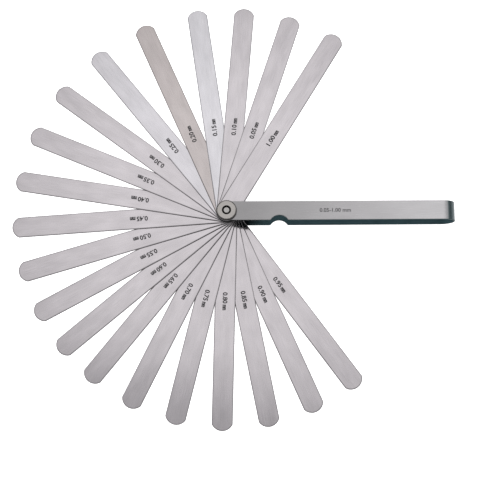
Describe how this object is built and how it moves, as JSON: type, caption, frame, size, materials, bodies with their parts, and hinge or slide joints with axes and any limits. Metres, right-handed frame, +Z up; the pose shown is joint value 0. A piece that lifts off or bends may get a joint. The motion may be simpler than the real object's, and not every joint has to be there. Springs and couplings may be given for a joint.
{
  "type": "feeler gauge",
  "caption": "Feeler gauge: thin round-tipped steel blades fanned out on one pivot screw, which fold into a narrow U-bent sheet case with a thumb notch and a round clamp nut.",
  "frame": {"origin": "on the pivot axis, on the underside of the pivot screw's head", "axes": "+X from the pivot along the case, +Z up through the stack of blades, along the pivot axis"},
  "size_m": [0.2158, 0.2096, 0.0165],
  "materials": {
    "blade_steel": "satin, ground along the blade",
    "case_sheet": "satin, brushed along the case",
    "plated_steel": "turned and plated, satin",
    "mark_black": "dark etched marks"
  },
  "bodies": {
    "case": {"case": "case_sheet", "pivot_screw": "plated_steel", "washer": "plated_steel"},
    "clamp_nut": {"clamp_nut": "plated_steel"},
    "blade_0_05": {"blade_0_05": "blade_steel"},
    "blade_0_10": {"blade_0_10": "blade_steel"},
    "blade_0_15": {"blade_0_15": "blade_steel"},
    "blade_0_20": {"blade_0_20": "blade_steel"},
    "blade_0_25": {"blade_0_25": "blade_steel"},
    "blade_0_30": {"blade_0_30": "blade_steel"},
    "blade_0_35": {"blade_0_35": "blade_steel"},
    "blade_0_40": {"blade_0_40": "blade_steel"},
    "blade_0_45": {"blade_0_45": "blade_steel"},
    "blade_0_50": {"blade_0_50": "blade_steel"},
    "blade_0_55": {"blade_0_55": "blade_steel"},
    "blade_0_60": {"blade_0_60": "blade_steel"},
    "blade_0_65": {"blade_0_65": "blade_steel"},
    "blade_0_70": {"blade_0_70": "blade_steel"},
    "blade_0_75": {"blade_0_75": "blade_steel"},
    "blade_0_80": {"blade_0_80": "blade_steel"},
    "blade_0_85": {"blade_0_85": "blade_steel"},
    "blade_0_90": {"blade_0_90": "blade_steel"},
    "blade_0_95": {"blade_0_95": "blade_steel"},
    "blade_1_00": {"blade_1_00": "blade_steel"}
  },
  "joints": [
    {"name": "nut_turn", "type": "hinge", "parent": "case", "child": "clamp_nut", "pos_m": [0, 0, 0.01585], "axis": [0, 0, 1], "range_deg": [0, 360]},
    {"name": "swing_0_05", "type": "hinge", "parent": "case", "child": "blade_0_05", "pos_m": [0, 0, 0.01282], "axis": [0, 0, 1], "range_deg": [-71.8, 288.2]},
    {"name": "swing_0_10", "type": "hinge", "parent": "case", "child": "blade_0_10", "pos_m": [0, 0, 0.0127], "axis": [0, 0, 1], "range_deg": [-85.1, 274.9]},
    {"name": "swing_0_15", "type": "hinge", "parent": "case", "child": "blade_0_15", "pos_m": [0, 0, 0.01252], "axis": [0, 0, 1], "range_deg": [-98.4, 261.6]},
    {"name": "swing_0_20", "type": "hinge", "parent": "case", "child": "blade_0_20", "pos_m": [0, 0, 0.0123], "axis": [0, 0, 1], "range_deg": [-113.9, 246.1]},
    {"name": "swing_0_25", "type": "hinge", "parent": "case", "child": "blade_0_25", "pos_m": [0, 0, 0.01202], "axis": [0, 0, 1], "range_deg": [-128.9, 231.1]},
    {"name": "swing_0_30", "type": "hinge", "parent": "case", "child": "blade_0_30", "pos_m": [0, 0, 0.0117], "axis": [0, 0, 1], "range_deg": [-143.4, 216.6]},
    {"name": "swing_0_35", "type": "hinge", "parent": "case", "child": "blade_0_35", "pos_m": [0, 0, 0.01132], "axis": [0, 0, 1], "range_deg": [-157.4, 202.6]},
    {"name": "swing_0_40", "type": "hinge", "parent": "case", "child": "blade_0_40", "pos_m": [0, 0, 0.0109], "axis": [0, 0, 1], "range_deg": [-170.9, 189.1]},
    {"name": "swing_0_45", "type": "hinge", "parent": "case", "child": "blade_0_45", "pos_m": [0, 0, 0.01043], "axis": [0, 0, 1], "range_deg": [-183.9, 176.1]},
    {"name": "swing_0_50", "type": "hinge", "parent": "case", "child": "blade_0_50", "pos_m": [0, 0, 0.0099], "axis": [0, 0, 1], "range_deg": [-196.4, 163.6]},
    {"name": "swing_0_55", "type": "hinge", "parent": "case", "child": "blade_0_55", "pos_m": [0, 0, 0.00932], "axis": [0, 0, 1], "range_deg": [-208.4, 151.6]},
    {"name": "swing_0_60", "type": "hinge", "parent": "case", "child": "blade_0_60", "pos_m": [0, 0, 0.0087], "axis": [0, 0, 1], "range_deg": [-219.9, 140.1]},
    {"name": "swing_0_65", "type": "hinge", "parent": "case", "child": "blade_0_65", "pos_m": [0, 0, 0.00802], "axis": [0, 0, 1], "range_deg": [-230.9, 129.1]},
    {"name": "swing_0_70", "type": "hinge", "parent": "case", "child": "blade_0_70", "pos_m": [0, 0, 0.0073], "axis": [0, 0, 1], "range_deg": [-243.5, 116.5]},
    {"name": "swing_0_75", "type": "hinge", "parent": "case", "child": "blade_0_75", "pos_m": [0, 0, 0.00653], "axis": [0, 0, 1], "range_deg": [-256.1, 103.9]},
    {"name": "swing_0_80", "type": "hinge", "parent": "case", "child": "blade_0_80", "pos_m": [0, 0, 0.0057], "axis": [0, 0, 1], "range_deg": [-268.7, 91.3]},
    {"name": "swing_0_85", "type": "hinge", "parent": "case", "child": "blade_0_85", "pos_m": [0, 0, 0.00483], "axis": [0, 0, 1], "range_deg": [-281.3, 78.7]},
    {"name": "swing_0_90", "type": "hinge", "parent": "case", "child": "blade_0_90", "pos_m": [0, 0, 0.0039], "axis": [0, 0, 1], "range_deg": [-293.9, 66.1]},
    {"name": "swing_0_95", "type": "hinge", "parent": "case", "child": "blade_0_95", "pos_m": [0, 0, 0.00293], "axis": [0, 0, 1], "range_deg": [-306.5, 53.5]},
    {"name": "swing_1_00", "type": "hinge", "parent": "case", "child": "blade_1_00", "pos_m": [0, 0, 0.0134], "axis": [0, 0, 1], "range_deg": [-58.5, 301.5]}
  ]
}
